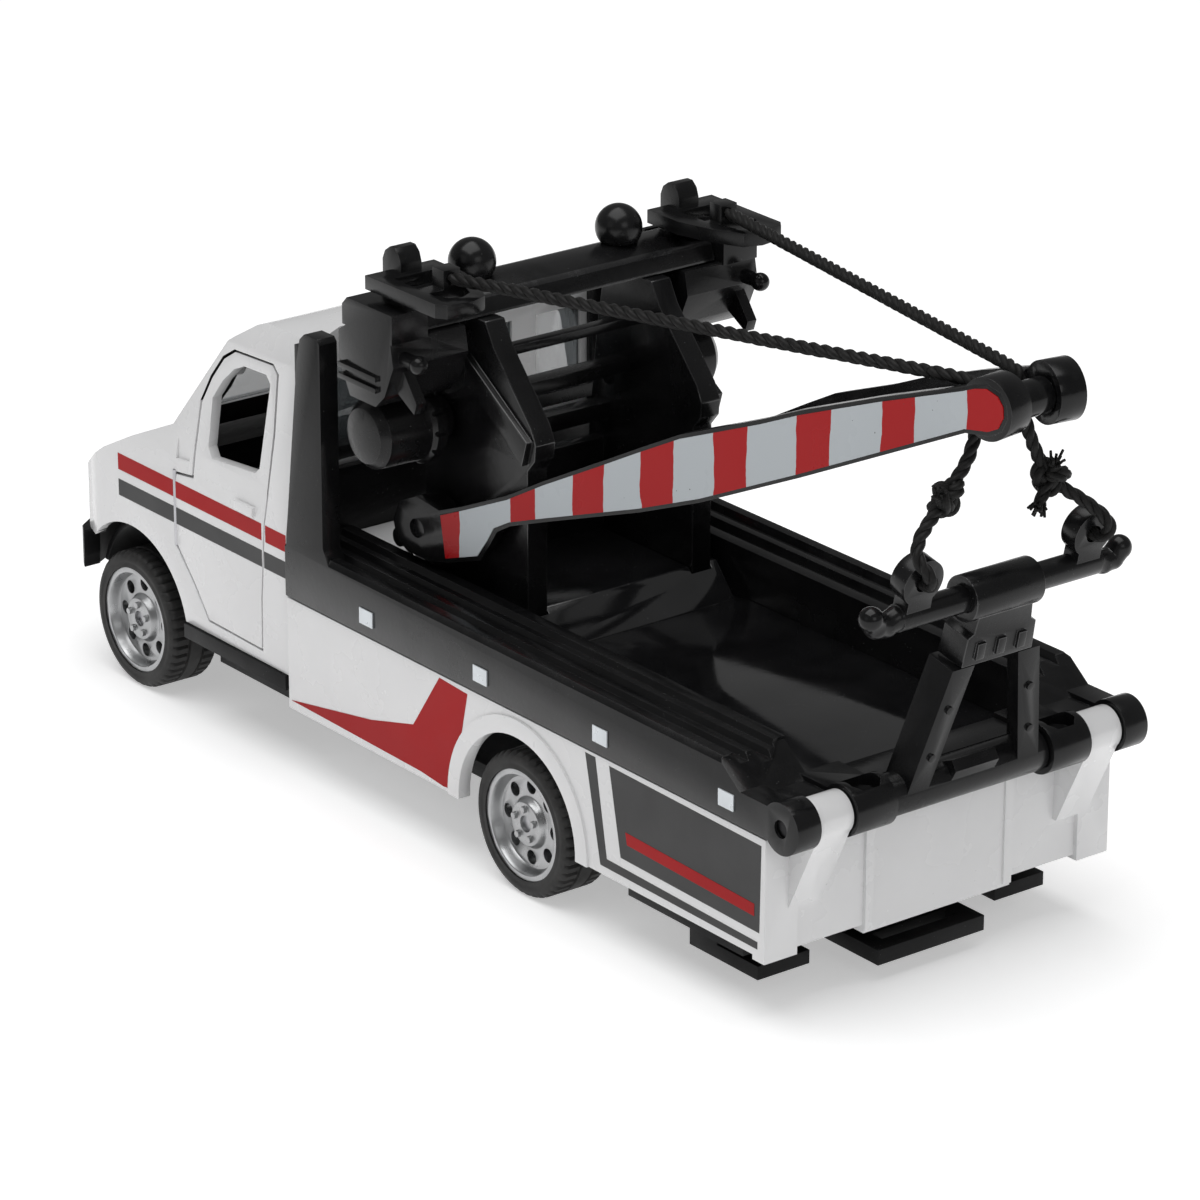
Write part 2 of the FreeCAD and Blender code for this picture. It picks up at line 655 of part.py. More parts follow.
hump_top = 28.6
hump_section = [
    (-17.0, floor_top - 0.5), (8.3, floor_top - 0.5), (8.3, floor_top), (4.6, hump_top),
    (-14.6, hump_top), (-17.0, deck_plate_z)]
slot_in = dim("mast_in_x") - 0.1
slot_out = dim("mast_out_x") + 0.1
mast_slots = [
    box((slot_in, slot_out), (-15.6, 5.2), (floor_top, 40.0)),
    box((-slot_out, -slot_in), (-15.6, 5.2), (floor_top, 40.0))]
node("floor_hump", cut(prism("YZ", hump_section, -15.2, 15.2), *mast_slots))

reflectors = []
for side in (-1, 1):
    face = (bed_half, bed_half + 0.15) if side > 0 else (-bed_half - 0.15, -bed_half)
    for i in range(4):
        middle = -11.1 + 23.0 * i
        reflectors.append(box(face, (middle - 1.35, middle + 1.35), (24.9, 26.9)))
node("side_reflectors", group(*reflectors))

# ---- mast ------------------------------------------------------------------------------

mast_in = dim("mast_in_x")
mast_out = dim("mast_out_x")
mast_top = dim("mast_top_z")
mast_front = dim("mast_front_y")
mast_back = dim("mast_back_y")
bracket_low = dim("bracket_low_z")
bracket_thick = dim("bracket_thick")
bracket_x = dim("bracket_x")
drum_y = dim("drum_y")
drum_z = dim("drum_z")
drum_radius = dim("drum_radius")
boom_y = dim("boom_y")
boom_z = dim("boom_z")
boom_pin = dim("boom_pin_radius")

mast_side = [
    (mast_front - 1.5, floor_top), (mast_front - 1.5, 41.0), (mast_front, 54.0),
    (mast_front + 1.6, 63.0), (-3.2, 63.0), (-1.6, 60.2), (mast_back + 0.6, 52.2),
    (mast_back + 1.6, 50.2), (mast_back + 1.4, 48.2), (mast_back, 46.6), (mast_back, floor_top)]
brace = [(-6.2, 55.4), (-6.2, 58.4), (mast_back + 1.0, 50.6), (mast_back, 47.4)]
side_plate = cut(
    fuse(prism("YZ", mast_side, mast_in, mast_out), prism("YZ", brace, mast_out, mast_out + 0.9)),
    rod("x", mast_in - 1.0, mast_out + 1.0, (boom_y, boom_z), boom_pin + gap),
    rod("x", mast_in - 1.0, mast_out + 1.0, (drum_y, drum_z), 1.2 + gap.value))
both_sides("mast_side", side_plate)

tie_x = (-mast_in, mast_in)
node("mast_ties", group(
    box(tie_x, (-9.6, -7.2), (50.4, 52.2)),
    box(tie_x, (-13.4, -11.0), (43.4, 45.6)),
    box(tie_x, (-6.0, -4.4), (57.4, 58.6)),
    box(tie_x, (-14.2, -12.4), (hump_top, 40.6))))
crossbar_x = (-bracket_x - 1.4, bracket_x + 1.4)
node("mast_crossbar", prism("YZ", [
    (-11.4, 63.1), (-11.4, mast_top - 0.6), (-10.8, mast_top), (-8.0, mast_top),
    (-5.4, mast_top - 1.0), (-4.4, 63.1)], *crossbar_x))

housing = prism("YZ", [
    (-14.0, 58.4), (-14.0, 62.0), (-12.4, 63.0), (-3.6, 63.0), (-3.0, 60.0), (-4.8, 56.0),
    (-6.6, 54.3), (-11.8, 54.3)], mast_out + 2.6, bed_half + 1.4)
housing_cap = prism("YZ", [
    (-13.2, 62.9), (-13.2, 65.4), (-12.2, 66.4), (-11.5, 66.4), (-11.5, 62.9)],
    mast_out + 2.6, bed_half + 1.4)
housing_ear = box((bracket_x + 1.5, bed_half + 1.4), (-12.0, -3.2), (62.8, 66.4))
housing_ribs = [box((bed_half + 0.6, bed_half + 1.9), (-13.6, -6.0), (z, z + 0.6))
                for z in (56.2, 57.6)]
housing_arm = box((mast_out, mast_out + 3.0), (-12.6, -6.4), (57.4, 61.0))
peg = rod("y", -3.6, -0.4, (bed_half - 0.4, 60.8), 0.9)
peg_end = ball((bed_half - 0.4, -0.3, 60.8), 1.15)
lever = prism("YZ", [(-5.4, 56.6), (-1.4, 54.4), (-0.9, 55.8), (-3.6, 59.4)],
              bed_half - 1.8, bed_half - 0.4)
both_sides("winch_housing", fuse(
    housing, housing_cap, housing_ear, housing_arm, peg, peg_end, lever, *housing_ribs))

spool_x = mast_out + 0.3
drum = turned([
    (mast_in, 0.0), (mast_in, 1.2), (spool_x, 1.2), (spool_x, 2.6), (spool_x + 2.6, 2.6),
    (spool_x + 2.6, drum_radius), (spool_x + 4.0, drum_radius), (spool_x + 4.4, 4.4),
    (spool_x + 10.4, 4.3), (spool_x + 11.4, 3.4), (spool_x + 11.8, 1.6), (spool_x + 11.8, 0.0)],
    (0, drum_y, drum_z))
grips = []
for i in range(12):
    turn = math.radians(30 * i)
    place = (drum_y + drum_radius.value * math.cos(turn), drum_z + drum_radius.value * math.sin(turn))
    grips.append(rod("x", spool_x + 2.5, spool_x + 4.3, place, 0.35))
both_sides("winch_drum", cut(drum, *grips))

bracket_high = bracket_low + bracket_thick
bracket_plan = [
    (bracket_x + 5.3, -10.4), (bracket_x + 5.1, 3.2), (bracket_x + 4.2, 4.4),
    (bracket_x + 0.9, 5.0), (bracket_x - 1.4, 4.2), (bracket_x - 3.4, 0.4),
    (bracket_x - 4.7, -4.4), (bracket_x - 4.7, -10.4)]
bracket_slot = [
    (bracket_x + 3.3, -7.4), (bracket_x + 3.3, 0.8), (bracket_x + 2.4, 2.4),
    (bracket_x + 0.9, 3.0), (bracket_x - 0.7, 2.2), (bracket_x - 1.9, -0.6),
    (bracket_x - 2.2, -7.4)]
rope_post_y = (-2.6, -0.4)
rope_post = fuse(
    box((bracket_x - 2.4, bracket_x + 3.5), rope_post_y, (bracket_low, bracket_high)),
    box((bracket_x - 1.2, bracket_x + 1.2), rope_post_y, (bracket_low, 71.6)))
fin_x = (bracket_x - 1.4, bracket_x + 1.6)
fin = prism("YZ", [
    (-12.0, bracket_high - 0.2), (-12.0, 70.3), (-11.5, 71.4), (-10.5, 72.1), (-9.5, 72.1),
    (-8.7, 71.4), (-8.3, 70.3), (-8.3, bracket_high - 0.2)], *fin_x)
fin_foot = box(fin_x, (-12.0, -8.4), (mast_top, bracket_high))
socket = rod("z", mast_top - 0.1, bracket_low + 0.1, (bracket_x, -8.0), 2.6)
bracket_plate = prism("XY", bracket_plan, bracket_low, bracket_high, holes=[bracket_slot])
both_sides("head_bracket", cut(
    fuse(bracket_plate, fin, fin_foot, socket, rope_post),
    box((bracket_x - 5.0, bracket_x + 5.5), (-13.0, -4.0), (62.0, mast_top + 0.05))))

beacon_x = 11.0
both_sides("beacon", cut(
    ball((beacon_x, -9.6, mast_top + 1.8), 2.9),
    box((beacon_x - 4.0, beacon_x + 4.0), (-14.0, -5.0), (60.0, mast_top))))

# ---- boom ------------------------------------------------------------------------------

tip_y = dim("tip_y")
tip_z = dim("tip_z")
tip_x = dim("tip_x")
tip_radius = dim("tip_radius")
shaft_radius = dim("shaft_radius")
plate_thick = dim("plate_thick")
plate_turn = dim("plate_angle").value
reach = 1.0 / math.cos(math.radians(plate_turn))

plate_edge = [
    (-14.6, 33.4), (-15.2, 35.6), (-14.2, 38.3), (-11.2, 39.7), (-7.3, 38.9), (-3.5, 40.4),
    (4.1, 43.8), (10.1, 47.2), (19.3, 52.0), (25.7, 55.4), (31.9, 58.6), (35.4, 60.0),
    (44.2, 63.5), (50.1, 66.1), (61.8, 70.6), (73.6, 74.8), (75.2, 75.5), (77.0, 75.9),
    (78.8, 75.4), (79.8, 74.1), (80.0, 72.6), (79.2, 71.0), (77.6, 70.1), (74.1, 69.6),
    (62.0, 63.8), (50.3, 58.2), (35.1, 51.2), (25.7, 47.5), (10.4, 42.2), (4.6, 40.1),
    (2.4, 38.8), (1.2, 36.8), (-0.5, 34.4), (-6.3, 32.5), (-9.2, 32.0), (-12.8, 32.2),
]


def along_plate(points):
    """Side-view points as places on the splayed plate, counted from the boom's tip."""
    return [((y - tip_y.value) * reach, z) for y, z in points]


def splayed(thing):
    """Stands an object made in the plate's own plane where the left boom plate is."""
    return moved(thing, Placement(
        Vector(tip_x.value, tip_y.value, 0), Rotation(Vector(0, 0, 1), plate_turn)))


def on_plate(inner, outer, points, **more):
    return prism("YZ", along_plate(points), inner, outer, **more)


hub_x = mast_out + 0.35
hub = rod("x", hub_x, hub_x + 3.6, (boom_y, boom_z), 3.7)
hub_lever = fuse(
    prism("YZ", [(-13.2, 34.6), (-12.2, 32.4), (-16.0, 31.7), (-16.8, 33.5)], hub_x + 0.8, hub_x + 2.6),
    rod("x", hub_x + 0.4, hub_x + 3.2, (-16.3, 32.7), 1.2))
plate_bore = rod("x", 0.0, 30.0, (boom_y, boom_z), boom_pin)
mast_room = box((0.0, hub_x), (-20.0, 8.0), (25.0, 66.0))
tip_disc = rod("x", -3.4, -0.05, (0, tip_z), tip_radius)
plate_solid = splayed(fuse(on_plate(-plate_thick, 0.0, plate_edge), tip_disc))
tip_bore = rod("x", 0.0, 12.0, (tip_y, tip_z), 1.4)
left_plate = cut(fuse(cut(plate_solid, tip_bore), hub, hub_lever), plate_bore, mast_room)
both_sides("boom_plate", left_plate)

sticker_edge = [
    (-7.0, 38.4), (-3.5, 39.9), (4.1, 43.3), (10.1, 46.7), (19.3, 51.5), (25.7, 54.9),
    (31.9, 58.1), (35.4, 59.5), (44.2, 63.0), (50.1, 65.6), (61.8, 70.1), (73.6, 74.3),
    (75.3, 75.0), (77.0, 75.4), (78.6, 74.9), (79.4, 73.9), (79.5, 72.7), (78.8, 71.3),
    (77.4, 70.6), (74.1, 70.1), (62.0, 64.3), (50.3, 58.7), (35.1, 51.7), (25.7, 48.0),
    (10.4, 42.7), (4.5, 40.6), (2.0, 39.2), (0.8, 37.2), (-0.8, 34.9), (-6.2, 33.1)]
both_sides("boom_sticker", splayed(on_plate(0.0, 0.12, sticker_edge)))
node("boom_pin", rod("x", -hub_x - 3.9, hub_x + 3.9, (boom_y, boom_z), boom_pin))

rungs = (((22.0, 50.6), 11.6, 1.3), ((42.0, 59.4), 9.0, 1.3), ((60.0, 66.8), 6.6, 1.3))
guide = ((dim("guide_y"), dim("guide_z")), 5.1, dim("guide_radius"))
node("boom_rungs", group(*[
    rod("x", -half, half, place, radius) for place, half, radius in (*rungs, guide)]))

shaft_half = 2.2
shaft_end = tip_x - 0.3
node("tip_shaft", turned([
    (-shaft_end, 0.0), (-shaft_end, 1.4), (-shaft_half, 1.4), (-shaft_half, shaft_radius),
    (shaft_half, shaft_radius), (shaft_half, 1.4), (shaft_end, 1.4), (shaft_end, 0.0)],
    (0, tip_y, tip_z)))

# ---- wheel lift ------------------------------------------------------------------------

lift_rod = dim("lift_rod_z")
lift_eye = dim("lift_eye_z")
eye_x = dim("lift_eye_x")
lean = Placement(
    Vector(0, hinge_y.value, hinge_z.value),
    Rotation(Vector(1, 0, 0), -dim("lift_lean").value))


def leaning(thing):
    """Stands an object made upright over the hinge axis where the leaning lift is."""
    return moved(thing, lean)


lift_bar = rod("x", -cup_in + 0.3, cup_in - 0.3, (0, 0), 2.5)
bar_boss = prism("YZ", [(-1.0, 1.8), (1.6, 3.6), (2.6, 2.6), (1.8, 0.0)], -3.2, 3.2)
legs = []
for side in (-1, 1):
    web = [(6.9, 0.0), (10.0, 0.0), (6.4, 16.6), (3.2, 16.6)]
    flange = [(8.7, 0.0), (10.0, 0.0), (6.4, 16.6), (5.1, 16.6)]
    legs.append(prism("XZ", [(side * u, v) for u, v in web], 0.9, 2.2))
    legs.append(prism("XZ", [(side * u, v) for u, v in flange], -1.9, 2.2))
    for z in (5.5, 11.5):
        place = side * (8.45 - 0.217 * z)
        legs.append(rod("y", 2.1, 2.6, (place, z), 0.5))
frame_bore = rod("x", -12.0, 12.0, (0, 0), pin_radius + gap)
node("lift_a_frame", leaning(cut(fuse(lift_bar, bar_boss, *legs), frame_bore)))

head_block = prism("XZ", symmetric([(5.2, 16.7), (5.0, 20.4), (4.2, 20.9), (3.9, 23.4)]), -1.9, 2.2)
head_ribs = [box((x, x + 1.2), (2.1, 2.6), (17.5, 19.6)) for x in (-3.6, -0.6, 2.4)]
sleeve = rod("x", -5.0, 5.0, (0, lift_rod), 2.7)
sleeve_bore = rod("x", -8.0, 8.0, (0, lift_rod), 1.6)
node("lift_head", leaning(cut(fuse(head_block, sleeve, *head_ribs), sleeve_bore)))


def strut(start, end, radius):
    """A round bar between two points, with a slightly larger ball at its far end."""
    bar = doc.addObject("Part::Cylinder", "strut")
    along = Vector(*end) - Vector(*start)
    bar.Radius = radius
    bar.Height = along.Length
    bar.Placement = Placement(Vector(*start), Rotation(Vector(0, 0, 1), along))
    return [bar, ball(end, radius + 0.05)]


rod_half = 14.5
hook_radius = 1.4
rod_pieces = [rod("x", -rod_half, rod_half, (0, lift_rod), 1.6)]
hook_line = [(rod_half, 0.0), (15.9, -0.5), (17.3, -0.3), (18.2, 0.8)]
for side in (-1, 1):
    joints = [(side * u, 0.0, lift_rod.value + v) for u, v in hook_line]
    rod_pieces.append(ball(joints[0], hook_radius + 0.05))
    for start, end in zip(joints, joints[1:]):
        rod_pieces += strut(start, end, hook_radius)
    eye_left = eye_x * side
    rod_pieces.append(rod("y", -1.2, 1.2, (eye_left, lift_eye), 2.8))
    rod_pieces.append(box((eye_left - 1.7, eye_left + 1.7), (-1.2, 1.2), (lift_rod, lift_eye)))
eye_holes = [rod("y", -2.0, 2.0, (eye_x * side, lift_eye), 1.05) for side in (-1, 1)]
node("lift_crossbar", leaning(cut(fuse(*rod_pieces), *eye_holes)))

# ---- ropes -----------------------------------------------------------------------------


def rope(name, points, radii=()):
    """A tube along straight runs joined by tangent arcs; radii names an arc that hugs a part."""
    section = dim("rope_radius").value
    points = [Vector(*point) for point in points]
    runs = [(b - a).Length for a, b in zip(points, points[1:])]
    edges = []
    length = 0.0
    start = points[0]
    for i in range(1, len(points) - 1):
        before = (points[i] - points[i - 1]).normalize()
        after = (points[i + 1] - points[i]).normalize()
        turn = before.getAngle(after)
        shorter = min(runs[i - 1], runs[i])
        radius = dict(radii).get(i, 0.45 * shorter / math.tan(turn / 2))
        back = radius * math.tan(turn / 2)
        inward = (after - before).normalize()
        middle = points[i] + inward * (radius / math.cos(turn / 2) - radius)
        enter = points[i] - before * back
        leave = points[i] + after * back
        edges.append(Part.LineSegment(start, enter).toShape())
        edges.append(Part.Arc(enter, middle, leave).toShape())
        length += (enter - start).Length + radius * turn
        start = leave
        print(f"{name}: turn {math.degrees(turn):.0f} degrees, radius {radius:.2f} mm")
    edges.append(Part.LineSegment(start, points[-1]).toShape())
    length += (points[-1] - start).Length
    circle = Part.Circle(points[0], points[1] - points[0], section)
    tube = Part.Wire(edges).makePipe(Part.Face(Part.Wire(circle.toShape())))
    expected = math.pi * section ** 2 * length
    print(f"{name}: length {length:.1f} mm, volume {tube.Volume:.2f}, expected {expected:.2f}")
    if abs(tube.Volume - expected) > 0.02 * expected:
        raise ValueError(f"{name} has the wrong volume")
    feature = doc.addObject("Part::Feature", "rope")
    feature.Shape = tube
    return node(name, feature)


guide_y = dim("guide_y").value
guide_z = dim("guide_z").value
wrap = dim("guide_radius").value + dim("rope_radius").value + 0.05
over_z = guide_z + wrap
drop_y = guide_y + wrap
post_x = bracket_x.value
rope("rope_upper_left", [(post_x, -0.35, 70.5), (12.4, 34.2, 72.2), (4.4, 66.0, 74.0)])
rope("rope_upper_right", [(-post_x, -0.35, 70.5), (-12.4, 34.2, 72.2), (-4.4, 66.0, 74.0)])
rope("rope_lower_left", [
    (4.38, 66.05, 74.0), (3.2, drop_y, over_z), (3.6, 72.9, 67.0), (8.6, 73.2, 62.0),
    (14.4, 74.8, 57.9), (13.5, 77.4, 55.4), (12.45, 76.24, 53.44), (12.45, 73.7, 54.0)], {1: wrap})
rope("rope_lower_right", [
    (-4.38, 66.05, 74.0), (-3.2, drop_y, over_z), (-3.5, 72.9, 67.6), (-7.0, 73.2, 60.8),
    (-10.9, 75.2, 58.1), (-12.9, 77.5, 55.6), (-12.45, 76.24, 53.44), (-12.45, 73.7, 54.0)], {1: wrap})


def knot(side, centre, tails):
    """Two turns of the rope pulled tight round its own standing part, with cut tails."""
    rope_radius = dim("rope_radius")
    parts = []
    for offset, tilt in ((-0.9, 33), (0.9, -28)):
        turn = doc.addObject("Part::Torus", "turn")
        bind(turn, "Radius1", rope_radius * 1.9)
        bind(turn, "Radius2", rope_radius * 1.15)
        turn.Placement = Placement(
            Vector(centre[0], centre[1], centre[2] + offset), Rotation(Vector(1, 0.4, 0), tilt))
        parts.append(turn)
    for tail, length in tails:
        end = doc.addObject("Part::Cylinder", "tail")
        bind(end, "Radius", rope_radius)
        end.Height = length
        end.Placement = Placement(Vector(*centre), Rotation(Vector(0, 0, 1), Vector(*tail)))
        parts.append(end)
    return node(f"rope_knot_{side}", fuse(*parts))


knot("left", (8.3, 73.2, 62.3), [((0.5, 0.6, 0.9), 3.0)])
knot("right", (-6.9, 73.2, 61.0), [((0.9, 0.5, -0.5), 3.4), ((-0.2, 0.4, 0.9), 2.4)])

# ---- checks and files ------------------------------------------------------------------

doc.recompute()
for item in doc.Objects:
    if "Invalid" in item.State or "Error" in item.State:
        raise ValueError(f"{item.Name} ({item.Label}) failed: {item.State}")
os.makedirs("parts", exist_ok=True)
whole = FreeCAD.BoundBox()
for name, item in NODES.items():
    shape = item.Shape
    if shape.isNull() or not shape.isValid() or not shape.Solids:
        raise ValueError(f"{name} has no valid solid")
    whole.add(shape.BoundBox)
    shape.exportStep(f"parts/{name}.step")
print(f"{len(NODES)} sub-parts, {whole}")
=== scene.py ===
"""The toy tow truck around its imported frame: meshes, paint, labels, twisted ropes and light."""

import json
import math

import bmesh
import bpy
import numpy as np
from mathutils import Matrix, Vector


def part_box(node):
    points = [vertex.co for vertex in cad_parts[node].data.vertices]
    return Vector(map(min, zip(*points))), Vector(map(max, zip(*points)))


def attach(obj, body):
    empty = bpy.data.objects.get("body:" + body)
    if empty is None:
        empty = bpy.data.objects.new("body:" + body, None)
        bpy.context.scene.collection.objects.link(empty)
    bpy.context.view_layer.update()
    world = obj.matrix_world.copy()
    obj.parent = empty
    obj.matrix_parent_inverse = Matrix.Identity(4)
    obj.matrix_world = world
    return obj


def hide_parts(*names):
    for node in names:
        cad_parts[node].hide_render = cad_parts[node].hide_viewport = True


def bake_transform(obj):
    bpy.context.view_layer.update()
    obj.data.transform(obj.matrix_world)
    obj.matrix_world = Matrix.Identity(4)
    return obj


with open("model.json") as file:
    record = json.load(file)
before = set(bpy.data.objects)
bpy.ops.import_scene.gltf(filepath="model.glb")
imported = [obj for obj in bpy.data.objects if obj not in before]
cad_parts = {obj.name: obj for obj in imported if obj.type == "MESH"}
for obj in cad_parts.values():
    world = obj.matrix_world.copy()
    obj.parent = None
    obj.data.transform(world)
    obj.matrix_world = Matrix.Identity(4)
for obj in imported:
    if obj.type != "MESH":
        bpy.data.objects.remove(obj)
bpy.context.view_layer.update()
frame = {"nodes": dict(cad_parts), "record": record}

MM = 0.001
NODES = frame["nodes"]
RECORD = frame["record"]
BODY = {n: b for b, ns in RECORD["behaviour"]["bodies"].items() for n in ns}
SLOT = {s["node"]: s["material_slot"] for s in RECORD["subparts"]}
SIDES = (("left", 1), ("right", -1))
bpy.context.scene.view_settings.view_transform = "Standard"


# ---- camera ----------------------------------------------------------------------------


VIEW_AZIMUTH = 141.71
VIEW_ELEVATION = 21.86
VIEW_ROLL = 0.32
VIEW_TARGET = (0, 13, 25)
VIEW_DISTANCE = 0.68448
LENS = 171.5901
SENSOR = 36.0
LENS_SHIFT = (-0.0506667, 0.0292)


def place_camera():
    """The photograph's view: a long lens from behind the truck's left rear corner."""
    azimuth, elevation, roll = (math.radians(a) for a in (VIEW_AZIMUTH, VIEW_ELEVATION, VIEW_ROLL))
    back = Vector((
        math.sin(azimuth) * math.cos(elevation),
        -math.cos(azimuth) * math.cos(elevation),
        math.sin(elevation)))
    right = Vector((0, 0, 1)).cross(back).normalized()
    up = back.cross(right)
    turned_right = right * math.cos(roll) + up * math.sin(roll)
    turned_up = up * math.cos(roll) - right * math.sin(roll)
    camera = bpy.data.objects.new("camera", bpy.data.cameras.new("camera"))
    bpy.context.scene.collection.objects.link(camera)
    columns = Matrix((turned_right, turned_up, back)).transposed().to_4x4()
    target = Vector(VIEW_TARGET) * MM
    camera.matrix_world = Matrix.Translation(target + back * VIEW_DISTANCE) @ columns
    camera.data.sensor_width = SENSOR
    camera.data.lens = LENS
    camera.data.shift_x, camera.data.shift_y = LENS_SHIFT
    camera.data.clip_start = 0.01
    camera.data.clip_end = 20.0
    bpy.context.scene.camera = camera


place_camera()


# ---- materials -------------------------------------------------------------------------


class Nodes:
    """Builds a material's node tree by short calls."""

    def __init__(self, name):
        self.material = bpy.data.materials.new(name)
        self.material.use_nodes = True
        self.tree = self.material.node_tree
        self.shader = self.tree.nodes["Principled BSDF"]
        self.place = self.add("ShaderNodeTexCoord").outputs["Object"]

    def add(self, kind, **values):
        node = self.tree.nodes.new(kind)
        for key, value in values.items():
            setattr(node, key, value)
        return node

    def join(self, output, target):
        self.tree.links.new(output, target)

    def set(self, **sockets):
        for name, value in sockets.items():
            self.shader.inputs[name.replace("_", " ")].default_value = value

    def noise(self, scale, detail=3.0, rough=0.5):
        node = self.add("ShaderNodeTexNoise")
        self.join(self.place, node.inputs["Vector"])
        node.inputs["Scale"].default_value = scale
        node.inputs["Detail"].default_value = detail
        node.inputs["Roughness"].default_value = rough
        return node.outputs["Fac"]

    def spread(self, value, low, high, source=(0.3, 0.7)):
        """Maps a texture's value to a range."""
        node = self.add("ShaderNodeMapRange")
        self.join(value, node.inputs["Value"])
        for socket, number in zip(("From Min", "From Max", "To Min", "To Max"), (*source, low, high)):
            node.inputs[socket].default_value = number
        return node.outputs["Result"]

    def mix(self, factor, first, second):
        node = self.add("ShaderNodeMix", data_type="RGBA")
        for socket, value in (("Factor", factor), ("A", first), ("B", second)):
            target = [i for i in node.inputs if i.name == socket and i.enabled][0]
            if isinstance(value, bpy.types.NodeSocket):
                self.join(value, target)
            elif socket == "Factor":
                target.default_value = value
            else:
                target.default_value = (*value, 1.0)
        return [o for o in node.outputs if o.enabled][0]

    def math(self, operation, first, second):
        node = self.add("ShaderNodeMath", operation=operation)
        for i, value in enumerate((first, second)):
            if isinstance(value, bpy.types.NodeSocket):
                self.join(value, node.inputs[i])
            else:
                node.inputs[i].default_value = value
        return node.outputs[0]

    def bump(self, height, distance):
        node = self.add("ShaderNodeBump")
        node.inputs["Distance"].default_value = distance
        self.join(height, node.inputs["Height"])
        self.join(node.outputs["Normal"], self.shader.inputs["Normal"])

    def axis(self, name):
        node = self.add("ShaderNodeSeparateXYZ")
        self.join(self.place, node.inputs[0])
        return node.outputs[name]

    def specks(self, scale, size):
        """Small spots scattered in patches: 1 in a spot and 0 elsewhere."""
        node = self.add("ShaderNodeTexVoronoi")
        self.join(self.place, node.inputs["Vector"])
        node.inputs["Scale"].default_value = scale
        near = self.math("LESS_THAN", node.outputs["Distance"], size)
        patch = self.math("GREATER_THAN", self.noise(scale * 0.11, 2.0), 0.58)
        return self.math("MULTIPLY", near, patch)


DUST = 0.1
GRAIN = 1400.0


def plastic(name, colour, rough, gloss, wear=None, depth=0.012):
    """Moulded plastic: uneven gloss, fine grain, dust specks and paler rubbed places."""
    n = Nodes(name)
    n.set(IOR=1.48, Specular_IOR_Level=gloss)
    cloud = n.noise(90.0, 5.0, 0.62)
    n.join(n.spread(cloud, rough[0], rough[1]), n.shader.inputs["Roughness"])
    pale = tuple(c * 1.9 + 0.012 for c in colour)
    base = n.mix(n.spread(n.noise(160.0, 4.0), 0.0, 0.35), colour, pale)
    if wear:
        base = n.mix(n.spread(n.noise(420.0, 4.0, 0.7), 0.0, 1.0, (0.5, 0.68)), base, wear)
    dust = tuple(c + DUST for c in colour)
    base = n.mix(n.specks(1500.0, 0.07), base, dust)
    n.join(base, n.shader.inputs["Base Color"])
    n.bump(n.noise(GRAIN, 3.0), depth * MM)
    return n.material


def paint(name, colour, rough=(0.2, 0.34), shade=0.93, coat=0.4, gloss=0.5):
    """Sprayed die-cast paint: a slight orange-peel skin and faint handling marks."""
    n = Nodes(name)
    n.set(IOR=1.5, Coat_Weight=coat, Coat_Roughness=0.09, Specular_IOR_Level=gloss)
    dull = tuple(c * shade for c in colour)
    base = n.mix(n.spread(n.noise(45.0, 5.0, 0.6), 0.0, 1.0), colour, dull)
    grime = n.math("MULTIPLY", n.specks(900.0, 0.06), 0.35)
    base = n.mix(grime, base, tuple(c * 0.45 for c in colour))
    n.join(base, n.shader.inputs["Base Color"])
    n.join(n.spread(n.noise(120.0, 4.0), *rough), n.shader.inputs["Roughness"])
    n.bump(n.noise(520.0, 2.0), 0.012 * MM)
    return n.material


def metal(name, colour, rough, metallic=1.0):
    """Bright or blackened metal with cloudy tone and roughness."""
    n = Nodes(name)
    n.set(Metallic=metallic)
    base = n.mix(n.spread(n.noise(260.0, 4.0), 0.0, 0.6), colour, tuple(c * 0.8 for c in colour))
    n.join(base, n.shader.inputs["Base Color"])
    n.join(n.spread(n.noise(600.0, 3.0), *rough), n.shader.inputs["Roughness"])
    n.bump(n.noise(900.0, 2.0), 0.006 * MM)
    return n.material


def tyre_rubber():
    """Dull rubber, greyed by handling."""
    n = Nodes("tyre_rubber")
    n.set(Specular_IOR_Level=0.35)
    grey = n.spread(n.noise(330.0, 5.0, 0.65), 0.0, 1.0)
    base = n.mix(grey, (0.012, 0.012, 0.012), (0.028, 0.027, 0.026))
    n.join(base, n.shader.inputs["Base Color"])
    n.join(n.spread(n.noise(240.0, 3.0), 0.5, 0.72), n.shader.inputs["Roughness"])
    n.bump(n.noise(1500.0, 4.0), 0.02 * MM)
    return n.material


def glass(name, colour, rough, alpha):
    """A thin clear moulding that shows some of its own colour."""
    n = Nodes(name)
    n.set(Base_Color=(*colour, 1.0), Transmission_Weight=0.35, Alpha=alpha, IOR=1.45)
    n.join(n.spread(n.noise(200.0), rough, rough + 0.06), n.shader.inputs["Roughness"])
    n.bump(n.noise(160.0), 0.004 * MM)
    return n.material


def cord_fibre():
    """Black waxed cord: fine fibres across each strand."""
    n = Nodes("cord_fibre")
    n.set(Sheen_Weight=0.02, Sheen_Roughness=0.5, Specular_IOR_Level=0.18)
    fine = n.noise(2600.0, 4.0, 0.7)
    base = n.mix(n.spread(fine, 0.0, 1.0), (0.004, 0.004, 0.004), (0.016, 0.0155, 0.015))
    n.join(base, n.shader.inputs["Base Color"])
    n.join(n.spread(n.noise(500.0), 0.42, 0.66), n.shader.inputs["Roughness"])
    n.bump(fine, 0.03 * MM)
    return n.material


